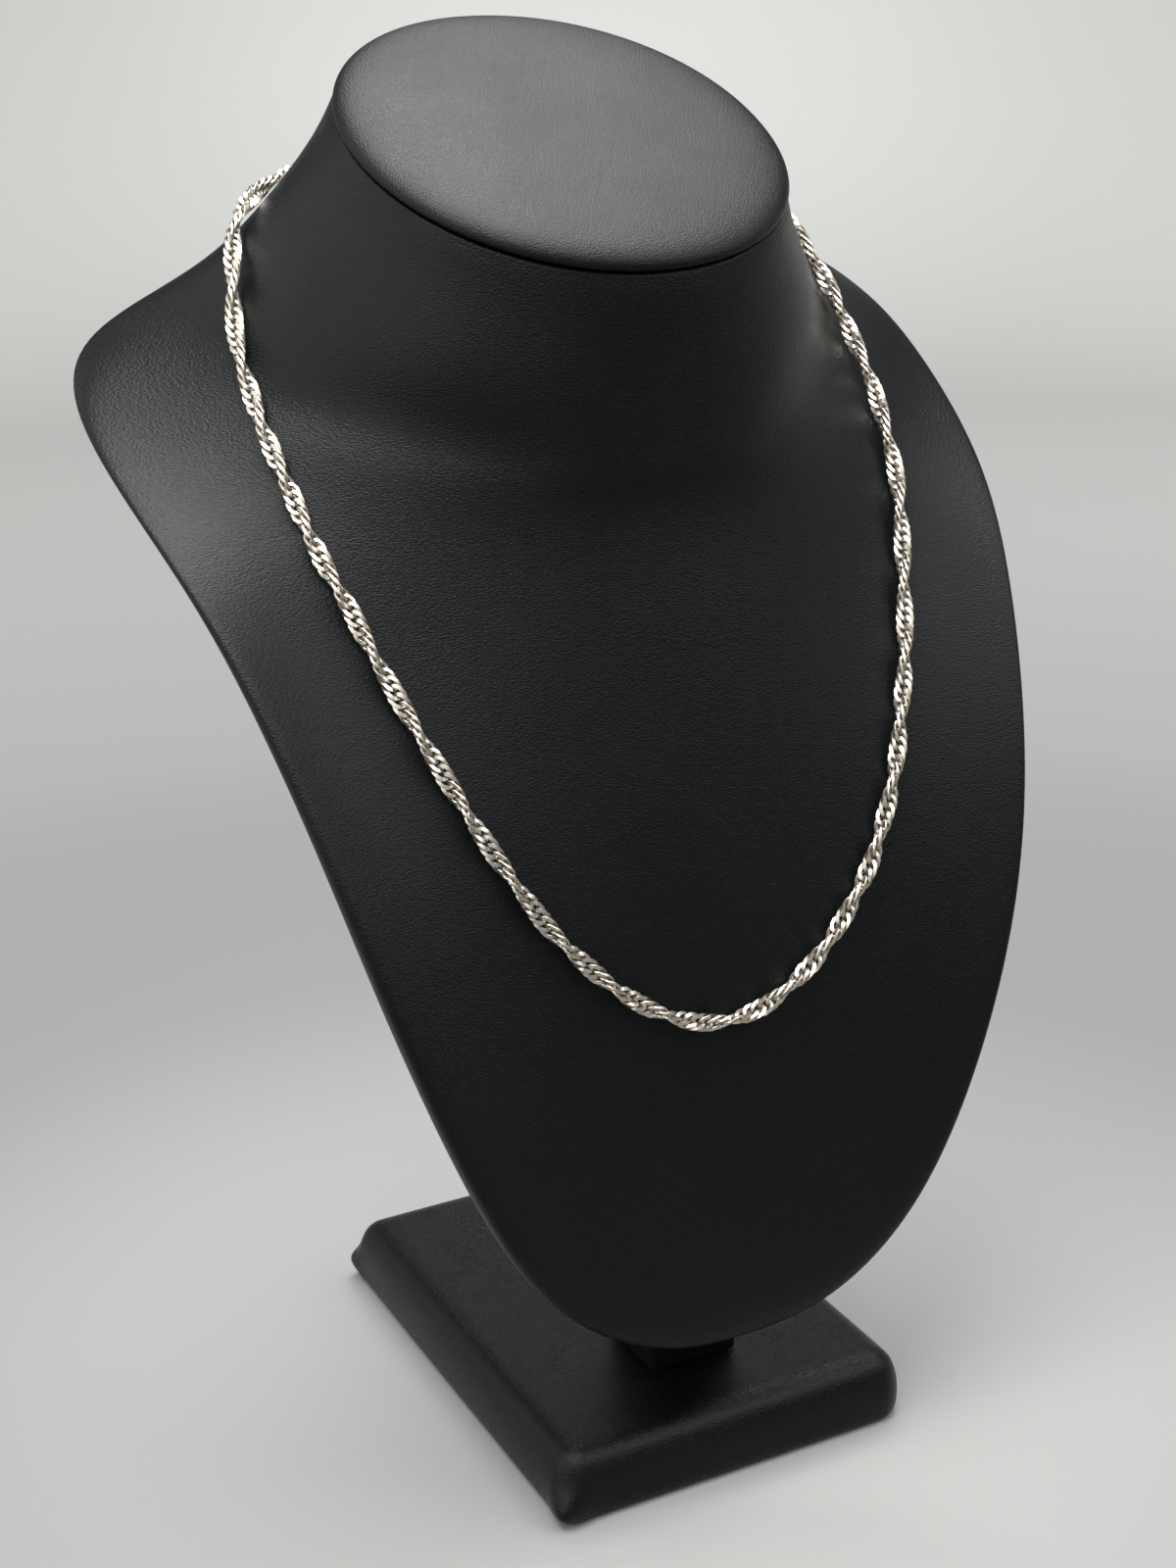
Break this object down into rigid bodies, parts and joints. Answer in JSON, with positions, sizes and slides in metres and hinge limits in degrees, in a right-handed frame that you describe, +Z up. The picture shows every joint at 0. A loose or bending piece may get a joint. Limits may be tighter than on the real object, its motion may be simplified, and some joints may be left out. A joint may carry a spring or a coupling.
{
  "type": "twisted chain necklace on a neck bust",
  "caption": "Silver twisted chain necklace lying round the neck and chest of a black padded neck bust on a padded foot.",
  "frame": {"origin": "middle of the foot's underside, where the bust stands", "axes": "+Z up; the chest faces -Y; +X is the bust's left shoulder; the form is symmetric about X = 0"},
  "size_m": [0.1848, 0.1159, 0.2818],
  "materials": {
    "leatherette": "fine pebble grain, soft satin",
    "silver": "polished, diamond-cut faces"
  },
  "bodies": {
    "root": {"bust_form": "leatherette", "neck_cap": "leatherette", "post": "leatherette", "base_board": "leatherette", "chain": "silver", "clasp": "silver"}
  },
  "joints": []
}
